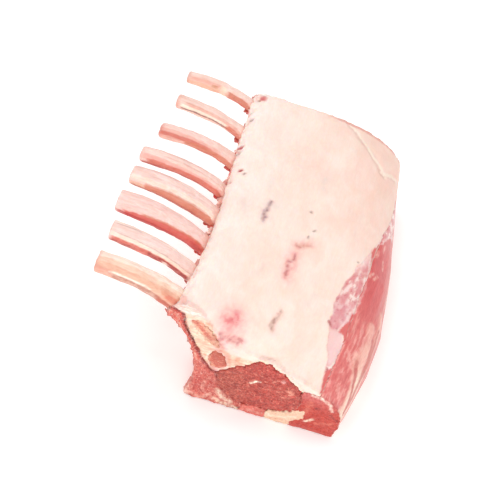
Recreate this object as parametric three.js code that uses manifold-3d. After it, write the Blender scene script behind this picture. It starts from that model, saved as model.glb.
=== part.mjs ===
// A raw frenched rack of lamb with eight ribs, in millimetres, +Z up.
// It stands on its sawn chine side. X runs from the rib tips to the back, Y along the spine, away from the near cut.
// Every layer that shows in the cut runs through the whole rack: the loin eye, the muscles round it and the fat cap.

import * as THREE from "three";
import { mergeVertices } from "three/addons/utils/BufferGeometryUtils.js";
import Module from "manifold-3d";

const wasm = await Module();
wasm.setup();

// Driving dimensions
const rackLength = 187; // along the spine, at the rib edge
const farSlant = 0.1; // the far cut leans away by this much for each millimetre of x
const stations = [0, 0.3, 0.68, 1]; // shares of the length where the sections below stand
const gap = 0.35; // between neighbouring pieces
const exitX = -14.5; // where the ribs leave the meat
const exitZ = 74.5;
const ribProud = 0.5; // how far a rib stands out of the inner wall
const webWidth = 13.5;
const webCentre = -15; // the middle of the trimmed webs, in x
const lumpHeight = 0.7; // unevenness of the outer surface
const edgeRadius = { near: 1.6, far: 4.5 };
// The near cut slopes back through the fat above the eye: how much, and where on the outline, in corners.
const slope = { depth: 11, length: 13, corner: 7.7, reach: 1.25 };
const steps = { along: 8, perSpan: 3, lean: 9, layerPerSpan: 2, rib: 11, ribAround: 10 };
const simplifyBy = 0.08; // small triangles that the cutting leaves are joined within this distance

// Sections at the stations, from the near cut, as [x, z] corners of a smooth closed outline.
const outline = [
  [
    [0.8, 5], [7.5, -6], [90, -6], [95.5, 7], [94, 22], [86, 34.5], [69, 43.5], [44, 56],
    [15, 73], [-4.5, 85.5], [-10.5, 84], [-20, 73], [-10, 62], [0.9, 42], [4.2, 28], [3.4, 16],
  ],
  [
    [4.2, 5], [7, -6], [92, -6], [103.5, 7], [107, 23], [99.5, 41], [79.5, 56], [50.6, 69],
    [17.5, 78.8], [-1.5, 84.8], [-7, 82.8], [-9.5, 75.5], [-8.4, 59.5], [0.3, 42], [4, 27], [3.2, 14],
  ],
  [
    [4, 5], [7, -6], [84, -6], [95.5, 7], [100, 25], [96.5, 44], [80.5, 61.5], [52.4, 74],
    [18.3, 80.2], [-3, 82.7], [-8.5, 80.6], [-11.8, 73.4], [-8, 58], [0.9, 42], [4.1, 27], [3.4, 14],
  ],
  [
    [4, 5], [7, -6], [79, -6], [88, 7], [91.5, 25.5], [89, 45.5], [74, 61], [49, 71.5],
    [17, 76.5], [-4.5, 79.8], [-10.5, 77.8], [-13.5, 72], [-7.5, 57.5], [1.5, 42], [4.6, 27], [3.6, 14],
  ],
];

// The lean meat under the fat cap. It reaches outside the outline where no fat covers the meat.
const lean = [
  [
    [-50, 79], [-24, 80], [-10, 77], [-8.2, 68.5], [-0.8, 55], [6.3, 41.5], [13.8, 31.5], [31, 31],
    [60, 33], [72, 36.5], [80.5, 36], [85, 39.5], [104, 54], [120, -30], [40, -40], [-50, -30],
  ],
  [
    [-50, 77.5], [-24, 79], [-11, 77], [-4.4, 69], [3.5, 56.5], [11.5, 46], [19, 39], [35, 40],
    [62, 48], [75, 51.5], [85.5, 49], [91.5, 55], [114, 66], [125, -30], [40, -40], [-50, -30],
  ],
  [
    [-50, 75.5], [-24, 77], [-11, 75.5], [-3.6, 68.5], [4.5, 57], [12.5, 48], [21, 43], [36, 44.5],
    [62, 55], [76, 56.5], [84.5, 52.5], [90, 48.5], [114, 55], [125, -30], [40, -40], [-50, -30],
  ],
  [
    [-50, 74], [-24, 76], [-11, 74], [-4, 67], [4, 56], [12, 47], [20, 41], [34, 42],
    [56, 52], [70, 51.5], [80, 42], [86.5, 24], [108, 20], [120, -20], [40, -40], [-50, -30],
  ],
];

const layers = {
  loin_eye: {
    color: 0xb5453d,
    roughness: 0.42,
    near: [[17, 30], [33, 43.5], [41, 51.8], [57, 46], [71, 31], [68, 15.5], [50, 8.5], [28, 10]],
    far: [[21, 36], [33, 50], [45, 58], [60, 53], [70, 38], [66, 20], [50, 11], [30, 14]],
  },
  chine_seam: {
    color: 0xeccdb4,
    roughness: 0.5,
    near: [[51.5, 2.5], [53.5, 8.2], [64, 11.5], [74.5, 18.5], [75, 12], [68, 4.5], [64, -4], [53, -5]],
    far: [[50.5, 3], [52.5, 9.5], [62, 13.5], [71.5, 20.5], [72.5, 14.5], [66, 6], [62, -4], [52, -5]],
  },
  chine_muscle: {
    color: 0xc9564c,
    roughness: 0.45,
    near: [[35.5, -5], [37, 6], [41, 12], [50, 13], [52.5, 5], [53, -5]],
    far: [[34.5, -5], [36, 7], [40, 14], [49, 16], [51, 6], [52, -5]],
  },
  back_muscle: {
    color: 0xc8503f,
    roughness: 0.42,
    near: [[53, -12], [60, 6], [66, 20], [71, 34], [78, 55], [120, 60], [125, -15]],
    far: [[52, -12], [59, 7], [65, 22], [66, 40], [68, 62], [120, 70], [125, -15]],
  },
  cap_muscle: {
    color: 0xbe6a52,
    roughness: 0.5,
    near: [[-4.3, 72], [-0.5, 74], [5.5, 69.5], [11.8, 62], [14.8, 54.8], [11, 55.4], [3, 64]],
    far: [[-3, 71], [1, 73.5], [9, 71], [17, 65], [23.5, 57], [17.5, 57.5], [7, 65.5]],
  },
  wedge_muscle: {
    color: 0xb9614d,
    roughness: 0.5,
    near: [[10.6, 43.5], [12.5, 49], [17.5, 48.8], [21, 40.5], [17.5, 35.4], [13.2, 36]],
    far: [[12.5, 50.5], [17, 54], [23, 53], [27.5, 49], [23, 46], [17, 45.5]],
  },
};

// One entry for each rib, from the near cut: where it sits along Y, how far and how high its tip
// reaches from the place where it leaves the meat, its sideways splay there, its section, and how
// deep the trimmed web dips between it and the next rib.
const ribs = [
  { y: 9.5, reach: 52, rise: 14.4, splay: -0.2, width: 16.6, thick: 9, web: 3 },
  { y: 33, reach: 51, rise: 14, splay: 2.4, width: 13.2, thick: 8.6, web: 5 },
  { y: 57.5, reach: 53.5, rise: 14, splay: 1.3, width: 15.6, thick: 8.6, web: 3 },
  { y: 81, reach: 51.5, rise: 14, splay: 0.4, width: 14.6, thick: 8.2, web: 3 },
  { y: 102.5, reach: 50.8, rise: 13.6, splay: -2.4, width: 10.8, thick: 7.6, web: 3 },
  { y: 128.5, reach: 45.2, rise: 11.6, splay: -3.6, width: 10.8, thick: 7.2, web: 3 },
  { y: 152.5, reach: 41.8, rise: 11.4, splay: 0, width: 9.4, thick: 6.8, web: 4 },
  { y: 178.5, reach: 41, rise: 11.4, splay: -3.4, width: 8.6, thick: 6.4, web: 0 },
];
const ribSectionPower = 2.5; // 2 is an ellipse, more is squarer
const tipRounding = 0.9; // share of the full section left at a rib's sawn tip

// ---- helpers ----

// A closed solid through rings of points that all have the same count, flat at both ends.
function loft(loops) {
  const flatten = (ring) => ring.map((p) => new THREE.Vector2(p.x, p.z));
  const rings = THREE.ShapeUtils.isClockWise(flatten(loops[0])) ? loops.map((r) => [...r].reverse()) : loops;
  const index = sides(rings);
  const last = (rings.length - 1) * rings[0].length;
  for (const [a, b, c] of THREE.ShapeUtils.triangulateShape(flatten(rings[0]), [])) {
    index.push(a, c, b);
  }
  for (const [a, b, c] of THREE.ShapeUtils.triangulateShape(flatten(rings.at(-1)), [])) {
    index.push(last + a, last + b, last + c);
  }
  return indexed(rings.flat(), index);
}

// As loft, with its ends closed by fans, for rings that stand across any direction.
function tube(rings) {
  const count = rings[0].length;
  const middle = (ring) => ring.reduce((sum, p) => sum.add(p), new THREE.Vector3()).divideScalar(count);
  const points = [...rings.flat(), middle(rings[0]), middle(rings.at(-1))];
  const index = sides(rings);
  const last = (rings.length - 1) * count;
  for (let j = 0; j < count; j++) {
    const next = (j + 1) % count;
    index.push(next, j, points.length - 2, last + j, last + next, points.length - 1);
  }
  return indexed(points, index);
}

// The triangles between neighbouring rings.
function sides(rings) {
  const count = rings[0].length;
  const index = [];
  for (let i = 0; i + 1 < rings.length; i++) {
    for (let j = 0; j < count; j++) {
      const a = i * count + j;
      const b = i * count + ((j + 1) % count);
      index.push(a, b, a + count, b, b + count, a + count);
    }
  }
  return index;
}

function indexed(points, index) {
  const positions = points.flatMap((p) => [p.x, p.y, p.z]);
  return new THREE.BufferGeometry()
    .setAttribute("position", new THREE.Float32BufferAttribute(positions, 3))
    .setIndex(index);
}

// A manifold-3d solid of a geometry, turned right side out if its rings ran the other way.
function solid(geometry) {
  const merged = mergeVertices(geometry, 1e-4);
  const vertProperties = merged.attributes.position.array;
  const triVerts = new Uint32Array(merged.index.array);
  const made = new wasm.Manifold(new wasm.Mesh({ numProp: 3, vertProperties, triVerts }));
  if (made.volume() > 0) return made;
  const turned = triVerts.map((v, i) => triVerts[i % 3 === 0 ? i : i + (i % 3 === 1 ? 1 : -1)]);
  return new wasm.Manifold(new wasm.Mesh({ numProp: 3, vertProperties, triVerts: turned }));
}

// The largest body of a solid, without the slivers that a cut can leave.
function largest(made) {
  return made.decompose().reduce((a, b) => (a.volume() > b.volume() ? a : b));
}

// The value at share u along the rack of a smooth curve through one value at each station.
function along(values, u) {
  return values.reduce((sum, value, i) => {
    const weight = stations.reduce((w, s, k) => (k === i ? w : (w * (u - s)) / (stations[i] - s)), 1);
    return sum + value * weight;
  }, 0);
}

// The smooth closed outline of a section at share u, as Vector2 points.
function sectionAt(sections, u, perSpan) {
  const corners = sections[0].map((_, i) => {
    const at = (k) => along(sections.map((section) => section[i][k]), u);
    return new THREE.Vector3(at(0), at(1), 0);
  });
  const curve = new THREE.CatmullRomCurve3(corners, true, "centripetal");
  const count = corners.length * perSpan;
  return Array.from({ length: count }, (_, i) => {
    const p = curve.getPoint(i / count);
    return new THREE.Vector2(p.x, p.y);
  });
}

// Sections at every station for a layer that is given at its two ends only.
function straight({ near, far }) {
  return stations.map((s) => near.map(([x, z], i) => [x + (far[i][0] - x) * s, z + (far[i][1] - z) * s]));
}

// The outline moved outwards by a distance that may depend on the point's index.
function grown(points, distance) {
  const area = THREE.ShapeUtils.area(points);
  return points.map((p, i) => {
    const before = points[(i + points.length - 1) % points.length];
    const after = points[(i + 1) % points.length];
    const normal = new THREE.Vector2(after.y - before.y, before.x - after.x)
      .normalize()
      .multiplyScalar(Math.sign(area));
    const by = typeof distance === "function" ? distance(i) : distance;
    return p.clone().addScaledVector(normal, by);
  });
}

// A section put at its place along the spine, where the far cut leans.
function placed(points, u) {
  return points.map((p) => new THREE.Vector3(p.x, u * (rackLength + farSlant * p.x), p.y));
}

// How far the outline is drawn in at share u and at a corner number, so that the cut edges are round
// and the near one slopes above the eye.
function edgeInset(u, corner) {
  const fromNear = u * rackLength;
  const fromFar = (1 - u) * rackLength;
  const drop = (d, r) => (d < r ? r - Math.sqrt(r * r - (r - d) ** 2) : 0);
  const aside = Math.min(1, Math.abs(corner - slope.corner) / slope.reach);
  const back = Math.max(0, 1 - fromNear / slope.length);
  const sloped = slope.depth * Math.cos((Math.PI / 2) * aside) ** 2 * back ** 1.5;
  return Math.max(sloped, drop(fromNear, edgeRadius.near), drop(fromFar, edgeRadius.far));
}

// Shares along the rack, closer together in the round edges.
function bodyShares() {
  const { near, far } = edgeRadius;
  const inner = Array.from({ length: steps.along }, (_, i) => {
    const from = slope.length / rackLength;
    const to = 1 - far / rackLength;
    return from + ((to - from) * i) / (steps.along - 1);
  });
  const nearEdge = [0, 0.3 * near, near, 0.3 * slope.length, 0.6 * slope.length].map((d) => d / rackLength);
  const farEdge = [0.6, 0.25, 0].map((s) => 1 - (s * far) / rackLength);
  return [...nearEdge, ...inner, ...farEdge];
}

// ---- the whole body, without its ribs ----

function wholeBody() {
  const rings = bodyShares().map((u) => {
    const points = sectionAt(outline, u, steps.perSpan);
    const y = u * rackLength;
    const lump = (i) => {
      const angle = (2 * Math.PI * i) / points.length;
      const waves = Math.sin(3 * angle + y / 21) * Math.cos(y / 13 - 2 * angle) + 0.6 * Math.sin(5 * angle - y / 9);
      return lumpHeight * waves - edgeInset(u, i / steps.perSpan);
    };
    return placed(grown(points, lump), u);
  });
  const table = new THREE.BoxGeometry(400, 600, 100).translate(0, rackLength / 2, -50);
  return webs().reduce((made, web) => made.subtract(web), solid(loft(rings)).subtract(solid(closed(table))));
}

// A three.js solid with only its positions, so that its vertices merge.
function closed(geometry) {
  geometry.deleteAttribute("normal");
  geometry.deleteAttribute("uv");
  return geometry;
}

// The rounded notches that the trimming leaves between the ribs, at the thin edge of the meat.
function webs() {
  return ribs.slice(1).map((rib, i) => {
    const before = ribs[i];
    const from = before.y + before.width / 2;
    const to = rib.y - rib.width / 2;
    const halfWidth = Math.max(webWidth, to - from + 1) / 2;
    const notch = closed(new THREE.CylinderGeometry(1, 1, 60, 14));
    notch.scale(before.web, 1, halfWidth);
    notch.rotateX(Math.PI / 2).rotateY(-0.25);
    return solid(notch.translate(webCentre, (from + to) / 2, exitZ));
  });
}

// ---- tools that split the body into its layers ----

function tool(sections, grow, count = 2) {
  const rings = Array.from({ length: count }, (_, i) => {
    const u = -0.04 + (1.08 * i) / (count - 1);
    return placed(grown(sectionAt(sections, u, steps.layerPerSpan), grow), u);
  });
  return solid(loft(rings));
}

// ---- ribs ----

// The curve of a rib's centre, from its tip down the inner wall to the sawn chine.
function ribCurve({ y, reach, rise, splay, thick }) {
  const inward = thick / 2 - ribProud;
  const points = [
    [exitX - reach, y + splay, exitZ + rise],
    [exitX - reach * 0.62, y + splay * 0.6, exitZ + rise * 0.86],
    [exitX - reach * 0.28, y + splay * 0.25, exitZ + rise * 0.52],
    [exitX, y, exitZ],
    [-8.8, y, 70.6],
    [-8 + inward * 0.86, y, 57.5 + inward * 0.5],
    [0.5 + inward * 0.93, y, 42 + inward * 0.3],
    [3.8 + inward, y, 27],
    [3 + inward, y, 13],
    [3.6 + inward, y, -4],
  ];
  return new THREE.CatmullRomCurve3(points.map((p) => new THREE.Vector3(...p)), false, "centripetal");
}

function ribSolid(rib, grow) {
  const curve = ribCurve(rib);
  const rings = [];
  const side = new THREE.Vector3(0, 1, 0);
  for (let i = 0; i <= steps.rib; i++) {
    const t = i / steps.rib;
    const centre = curve.getPointAt(t);
    const normal = new THREE.Vector3().crossVectors(curve.getTangentAt(t), side).normalize();
    const flare = 1 + 0.1 * Math.sin(t * 9 + rib.y) - 0.12 * t;
    const end = i === 0 ? tipRounding : 1;
    const ring = Array.from({ length: steps.ribAround }, (_, k) => {
      const angle = (2 * Math.PI * k) / steps.ribAround;
      const power = 2 / ribSectionPower;
      const across = Math.sign(Math.cos(angle)) * Math.abs(Math.cos(angle)) ** power;
      const up = Math.sign(Math.sin(angle)) * Math.abs(Math.sin(angle)) ** power;
      return centre
        .clone()
        .addScaledVector(side, across * ((rib.width / 2) * flare * end + grow))
        .addScaledVector(normal, up * ((rib.thick / 2) * end + grow));
    });
    rings.push(ring);
  }
  if (grow > 0) {
    const out = curve.getTangentAt(0).multiplyScalar(-grow);
    rings.unshift(rings[0].map((p) => p.clone().add(out)));
  }
  return solid(tube(rings));
}

// ---- putting the rack together ----

const half = gap / 2;
const body = wholeBody();
const table = solid(closed(new THREE.BoxGeometry(400, 600, 100).translate(0, rackLength / 2, -50)));
const ribSolids = ribs.map((rib) => ribSolid(rib, 0).subtract(table));
const ribRoom = wasm.Manifold.union(ribs.map((rib) => ribSolid(rib, gap)));
const leanTool = { thin: tool(lean, -half, steps.lean), wide: tool(lean, half, steps.lean) };
const thin = {};
const wide = {};
for (const [name, layer] of Object.entries(layers)) {
  thin[name] = tool(straight(layer), -half);
  wide[name] = tool(straight(layer), half);
}

const pieces = {
  loin_eye: body.intersect(thin.loin_eye),
  chine_seam: body.intersect(thin.chine_seam).subtract(wide.loin_eye),
  chine_muscle: body.intersect(thin.chine_muscle).subtract(wide.loin_eye).subtract(wide.chine_seam),
  back_muscle: body
    .intersect(thin.back_muscle)
    .intersect(leanTool.thin)
    .subtract(wide.loin_eye)
    .subtract(wide.chine_seam)
    .subtract(wide.chine_muscle),
  cap_muscle: body.intersect(thin.cap_muscle),
  wedge_muscle: body.intersect(thin.wedge_muscle),
};
pieces.fat_cap = body
  .subtract(leanTool.wide)
  .subtract(wide.loin_eye)
  .subtract(wide.cap_muscle)
  .subtract(wide.wedge_muscle)
  .subtract(ribRoom);
pieces.rib_meat = body.intersect(leanTool.thin);
for (const name of ["loin_eye", "chine_seam", "chine_muscle", "back_muscle", "cap_muscle", "wedge_muscle"]) {
  pieces.rib_meat = pieces.rib_meat.subtract(wide[name]);
}
pieces.rib_meat = pieces.rib_meat.subtract(ribRoom);

const finishes = {
  fat_cap: { color: 0xfce6da, roughness: 0.5 },
  rib_meat: { color: 0xd0655a, roughness: 0.45 },
  ...layers,
};

const rack = new THREE.Group();

function addPiece(name, made, { color, roughness }) {
  const { vertProperties, triVerts } = largest(made).simplify(simplifyBy).getMesh();
  const geometry = new THREE.BufferGeometry()
    .setAttribute("position", new THREE.BufferAttribute(vertProperties, 3))
    .setIndex(new THREE.BufferAttribute(triVerts, 1));
  geometry.computeVertexNormals();
  const mesh = new THREE.Mesh(geometry, new THREE.MeshStandardMaterial({ color, roughness, metalness: 0 }));
  mesh.name = name;
  rack.add(mesh);
}

for (const [name, made] of Object.entries(pieces)) {
  addPiece(name, made, finishes[name]);
}
ribSolids.forEach((made, i) => addPiece(`rib_${i + 1}`, made, { color: 0xf3d3c2, roughness: 0.48 }));

// The origin is the middle of the whole rack's box, at the surface that it stands on.
const box = new THREE.Box3().setFromObject(rack);
const centre = box.getCenter(new THREE.Vector3());
rack.position.set(-centre.x, -centre.y, -box.min.z);

export default rack;
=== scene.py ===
import math

import bmesh
import bpy
import numpy as np
from mathutils import Matrix, Vector, noise
from mathutils.bvhtree import BVHTree


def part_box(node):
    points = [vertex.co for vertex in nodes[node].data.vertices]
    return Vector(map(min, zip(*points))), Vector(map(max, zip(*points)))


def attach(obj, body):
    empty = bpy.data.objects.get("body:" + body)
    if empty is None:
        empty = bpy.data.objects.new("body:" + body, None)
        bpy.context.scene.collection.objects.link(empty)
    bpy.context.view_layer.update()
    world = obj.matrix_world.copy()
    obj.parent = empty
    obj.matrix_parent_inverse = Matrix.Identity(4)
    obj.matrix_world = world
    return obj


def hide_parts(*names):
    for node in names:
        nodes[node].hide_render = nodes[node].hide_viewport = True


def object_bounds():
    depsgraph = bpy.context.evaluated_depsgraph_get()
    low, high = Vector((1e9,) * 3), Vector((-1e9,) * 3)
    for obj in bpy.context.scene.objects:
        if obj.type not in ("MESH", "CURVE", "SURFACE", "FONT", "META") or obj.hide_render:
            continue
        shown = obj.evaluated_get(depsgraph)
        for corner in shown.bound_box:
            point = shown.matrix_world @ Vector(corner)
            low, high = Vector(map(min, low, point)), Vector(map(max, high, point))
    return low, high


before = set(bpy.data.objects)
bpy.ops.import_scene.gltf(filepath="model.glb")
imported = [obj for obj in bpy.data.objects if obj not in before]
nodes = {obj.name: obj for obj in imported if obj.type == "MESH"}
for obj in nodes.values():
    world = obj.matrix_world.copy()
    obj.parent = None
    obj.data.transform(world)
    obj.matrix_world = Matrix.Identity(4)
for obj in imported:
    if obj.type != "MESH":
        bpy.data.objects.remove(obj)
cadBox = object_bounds()
scene = bpy.context.scene
mm = 0.001

# the two sawn ends: the near one is square, the far one leans away towards the back
farLean = 0.1
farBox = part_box("loin_eye")
cuts = {"near": cadBox[0].y, "far": farBox[1].y - farLean * farBox[1].x, "lean": farLean}


# camera, floor and light

cameraSettings = {
    "azimuth": 3.2,
    "elevation": 50.0,
    "roll": 14.06,
    "distance": 1.3,
    "lens": 152.7,
    "target": (-0.00806, -0.00846, 0.044),
}


def addCamera(s):
    data = bpy.data.cameras.new("rackCamera")
    data.lens = s["lens"]
    data.sensor_width = 36
    data.clip_start = 0.05
    camera = bpy.data.objects.new("rackCamera", data)
    scene.collection.objects.link(camera)
    aimed = Matrix.Rotation(math.radians(s["azimuth"]), 3, "Z") @ Matrix.Rotation(
        math.radians(90 - s["elevation"]), 3, "X"
    )
    spot = Vector(s["target"]) + aimed @ Vector((0, 0, s["distance"]))
    turned = aimed @ Matrix.Rotation(math.radians(s["roll"]), 3, "Z")
    camera.matrix_world = Matrix.Translation(spot) @ turned.to_4x4()
    scene.camera = camera


lightSettings = {
    "sky": ((1.0, 0.995, 0.99), 0.84),
    "boxes": [
        # place, what it points at, width, power, colour
        ((-0.45, 0.3, 1.5), (0, 0, 0.03), 0.8, 5.4, (1.0, 0.985, 0.965)),
        ((0.1, -1.3, 0.55), (0, 0, 0.03), 0.6, 5.2, (1.0, 0.975, 0.95)),
    ],
}


def addLights(s):
    world = bpy.data.worlds.new("softRoom")
    world.use_nodes = True
    sky = world.node_tree.nodes["Background"]
    sky.inputs["Color"].default_value = (*s["sky"][0], 1)
    sky.inputs["Strength"].default_value = s["sky"][1]
    scene.world = world
    for i, (place, target, width, power, color) in enumerate(s["boxes"]):
        data = bpy.data.lights.new(f"softBox{i}", "AREA")
        data.shape = "DISK"
        data.size = width
        data.energy = power
        data.color = color
        lamp = bpy.data.objects.new(f"softBox{i}", data)
        lamp.location = place
        lamp.rotation_euler = (Vector(target) - Vector(place)).to_track_quat("-Z", "Y").to_euler()
        scene.collection.objects.link(lamp)


# small helpers for materials


def toLinear(color):
    return tuple(((c / 255 + 0.055) / 1.055) ** 2.4 if c > 10 else c / 255 / 12.92 for c in color)


class Shader:
    # a thin wrapper that keeps node code short

    def __init__(self, name):
        self.material = bpy.data.materials.new(name)
        self.material.use_nodes = True
        self.tree = self.material.node_tree
        self.surface = self.tree.nodes["Principled BSDF"]
        self.place = self.tree.nodes.new("ShaderNodeTexCoord").outputs["Object"]

    def add(self, kind, settings):
        node = self.tree.nodes.new(kind)
        for key, value in settings.items():
            if key in node.inputs:
                node.inputs[key].default_value = value
            else:
                setattr(node, key, value)
        return node

    def feed(self, socket, value):
        if isinstance(value, bpy.types.NodeSocket):
            self.tree.links.new(value, socket)
        elif socket.type == "RGBA":
            socket.default_value = (*value, 1)
        else:
            socket.default_value = value

    def painted(self, name, output="Fac"):
        return self.add("ShaderNodeAttribute", {"attribute_name": name}).outputs[output]

    def noise(self, size, detail=3.0, stretch=(1, 1, 1), rough=0.55, warp=0.0, shift=0.0):
        # size is the width of a blotch; stretch makes it longer along an axis
        scaled = self.add("ShaderNodeMapping", {"Location": (shift, -shift, shift * 0.7)})
        scaled.inputs["Scale"].default_value = [1 / (size * k) for k in stretch]
        self.feed(scaled.inputs["Vector"], self.place)
        node = self.add("ShaderNodeTexNoise", {"Scale": 1.0, "Detail": detail, "Roughness": rough, "Distortion": warp})
        self.feed(node.inputs["Vector"], scaled.outputs["Vector"])
        return node.outputs["Fac"]

    def times(self, a, b):
        node = self.add("ShaderNodeMath", {"operation": "MULTIPLY"})
        self.feed(node.inputs[0], a)
        self.feed(node.inputs[1], b)
        return node.outputs[0]

    def between(self, value, low, high, toLow=0.0, toHigh=1.0):
        # a soft step of value from low to high
        node = self.add("ShaderNodeMapRange", {"interpolation_type": "SMOOTHSTEP"})
        self.feed(node.inputs["Value"], value)
        for key, number in zip(("From Min", "From Max", "To Min", "To Max"), (low, high, toLow, toHigh)):
            self.feed(node.inputs[key], number)
        return node.outputs[0]

    def mix(self, share, a, b, blend="MIX"):
        node = self.add("ShaderNodeMix", {"data_type": "RGBA", "blend_type": blend})
        self.feed(node.inputs["Factor"], share)
        self.feed(node.inputs[6], a)
        self.feed(node.inputs[7], b)
        return node.outputs[2]

    def vary(self, color, value, low, high, share=1.0):
        # multiplies a colour by something between low and high
        return self.mix(share, color, self.mix(value, low, high), "MULTIPLY")

    def finish(self, color, rough, bumps, **constants):
        # bumps are (height socket, height in metres) pairs
        self.feed(self.surface.inputs["Base Color"], color)
        self.feed(self.surface.inputs["Roughness"], rough)
        last = None
        for height, depth in bumps:
            bump = self.add("ShaderNodeBump", {"Strength": 1.0, "Distance": depth})
            self.feed(bump.inputs["Height"], height)
            if last:
                self.feed(bump.inputs["Normal"], last)
            last = bump.outputs["Normal"]
        self.feed(self.surface.inputs["Normal"], last)
        for key, value in constants.items():
            self.surface.inputs[key.replace("_", " ")].default_value = value
        return self.material


def fleshMaterial(name, s):
    # painted colours, broken up by a grain, with light flecks and a wet gloss on the sawn ends
    look = Shader(name)
    stretch = s.get("stretch", (1, 1, 1))
    grain = look.noise(s["grain"], 5.0, stretch, rough=0.6, warp=0.5)
    fine = look.noise(s["grain"] * 0.4, 3.0, stretch, shift=9)
    patch = look.noise(s["patch"], 3.0, s.get("patchStretch", (1, 1, 1)), warp=0.8, shift=5)
    sawnGrain = look.noise(s["sawnGrain"], 5.0, s.get("sawnStretch", (1, 2, 1)), rough=0.68, warp=0.7, shift=7)
    sawn = look.painted("sawn")
    color = look.vary(look.painted("tint", "Color"), look.between(patch, 0.34, 0.66), *s["patchTones"])
    outer = look.between(sawn, 0.0, 1.0, 1.0, 0.0)
    color = look.vary(color, look.between(grain, 0.34, 0.66), *s["tones"], share=outer)
    color = look.vary(color, look.between(sawnGrain, 0.36, 0.64), *s["sawnTones"], share=sawn)
    color = look.vary(color, look.between(fine, 0.36, 0.64), *s["fineTones"])
    if "fleck" in s:
        spots = look.noise(s["sawnGrain"] * 0.8, 4.0, s.get("sawnStretch", (1, 2, 1)), warp=1.2, shift=12)
        spots = look.times(look.between(spots, 0.55, 0.66), look.times(sawn, look.between(patch, 0.3, 0.6, 0.3, 1.0)))
        color = look.mix(look.times(spots, s.get("flecks", 0.65)), color, toLinear(s["fleck"]))
    rough = look.between(grain, 0.3, 0.7, s["rough"], s["rough"] + 0.14)
    relief = look.times(sawnGrain, sawn)
    return look.finish(
        color,
        rough,
        [(relief, s["relief"]), (grain, s.get("bump", 0.0002)), (fine, 0.00008)],
        Subsurface_Weight=s.get("glow", 0.12),
        Subsurface_Scale=0.002,
        Specular_IOR_Level=s.get("shine", 0.4),
        Coat_Weight=s.get("wet", 0.12),
        Coat_Roughness=0.22,
    )


# small helpers for meshes


def coords(piece):
    found = np.empty(len(piece.data.vertices) * 3, np.float32)
    piece.data.vertices.foreach_get("co", found)
    return found.reshape(-1, 3).astype(float)


def facing(piece):
    found = np.empty(len(piece.data.vertices) * 3, np.float32)
    piece.data.vertices.foreach_get("normal", found)
    return found.reshape(-1, 3).astype(float)


def setCoords(piece, points):
    piece.data.vertices.foreach_set("co", points.astype(np.float32).ravel())
    piece.data.update()


def paint(piece, name, values):
    layer = piece.data.attributes.new(name, "FLOAT", "POINT")
    layer.data.foreach_set("value", np.clip(values, 0, 1).astype(np.float32))


def ripple(points, size, seed=0.0, octaves=2, stretch=(1, 1, 1)):
    shift = Vector((seed, seed * 1.7 + 3, -seed))
    scaled = points / (size * np.array(stretch))
    return np.array([noise.fractal(Vector(p) + shift, 1.0, 2.0, octaves) for p in scaled])


def wander(points, amount, size, seed=0.0):
    # the points moved about a little, so that what is painted by distance gets a ragged edge
    moves = [ripple(points, size, seed + k, 3) for k in range(points.shape[1])]
    return points + amount * np.stack(moves, 1)


def fade(distance, near, far):
    # 1 up to near, 0 from far on, soft between
    t = np.clip((far - distance) / (far - near), 0, 1)
    return t * t * (3 - 2 * t)


def rise(value, low, high):
    # 0 up to low, 1 from high on, soft between
    return 1 - fade(value, low, high)


class Face:
    # a box seen along one axis, where a place is two shares of its sizes

    def __init__(self, low, high, *axes):
        self.axes = list(axes)
        self.low = np.array([low[a] for a in axes])
        self.size = np.array([high[a] for a in axes]) - self.low

    def shares(self, points):
        return ((points[:, self.axes] - self.low) / self.size).T

    def toLine(self, points, line):
        # how far each point is from a line through the given corners, or from one spot, in millimetres
        flat = points[:, self.axes]
        line = [self.low + self.size * corner for corner in line]
        best = np.linalg.norm(flat - line[0], axis=1)
        for a, b in zip(line, line[1:]):
            along = np.clip(((flat - a) @ (b - a)) / ((b - a) @ (b - a)), 0, 1)
            best = np.minimum(best, np.linalg.norm(flat - a - along[:, None] * (b - a), axis=1))
        return best / mm


def sawnFace(node):
    return Face(*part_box(node), 0, 2)


def sideFace(node):
    return Face(*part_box(node), 1, 2)


# the whole back from above, from the thin edge at the bones to the far side
backFace = Face(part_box("fat_cap")[0], cadBox[1], 1, 0)


def follow(value, line):
    # reads a line of (place, value) corners at each value
    return np.interp(value, [p[0] for p in line], [p[1] for p in line])


def solidTree(name):
    mesh = nodes[name].data
    return BVHTree.FromPolygons([v.co for v in mesh.vertices], [p.vertices for p in mesh.polygons])


def awayFrom(points, where, *nodeNames):
    # how far the points chosen by where are from other solids, in millimetres
    trees = [solidTree(name) for name in nodeNames]
    away = np.full(len(points), 1000.0)
    for i in np.nonzero(where > 0)[0]:
        away[i] = min(tree.find_nearest(points[i])[3] for tree in trees) / mm
    return away


def beside(away, near, far, edge=0.5):
    # 1 where a distance lies between near and far
    return rise(away, near - edge, near + edge) * fade(away, far - edge, far + edge)


def scattered(seed, count, low, high, length, lean):
    # short lines at random places between two corners of a face
    dice = np.random.default_rng(seed)
    starts = dice.uniform(low, high, (count, 2))
    turns = lean + dice.normal(0, 0.5, count)
    return [[a, a + length * np.array([math.cos(turn), math.sin(turn)])] for a, turn in zip(starts, turns)]


def fanned(seed, count, foot, first, last, jitter):
    # lines which spread from one foot, each a little out of its place
    dice = np.random.default_rng(seed)
    ends = np.linspace(first, last, count) + dice.normal(0, jitter, (count, 2))
    return [[np.array(foot), np.array(foot) + end] for end in ends]


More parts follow.
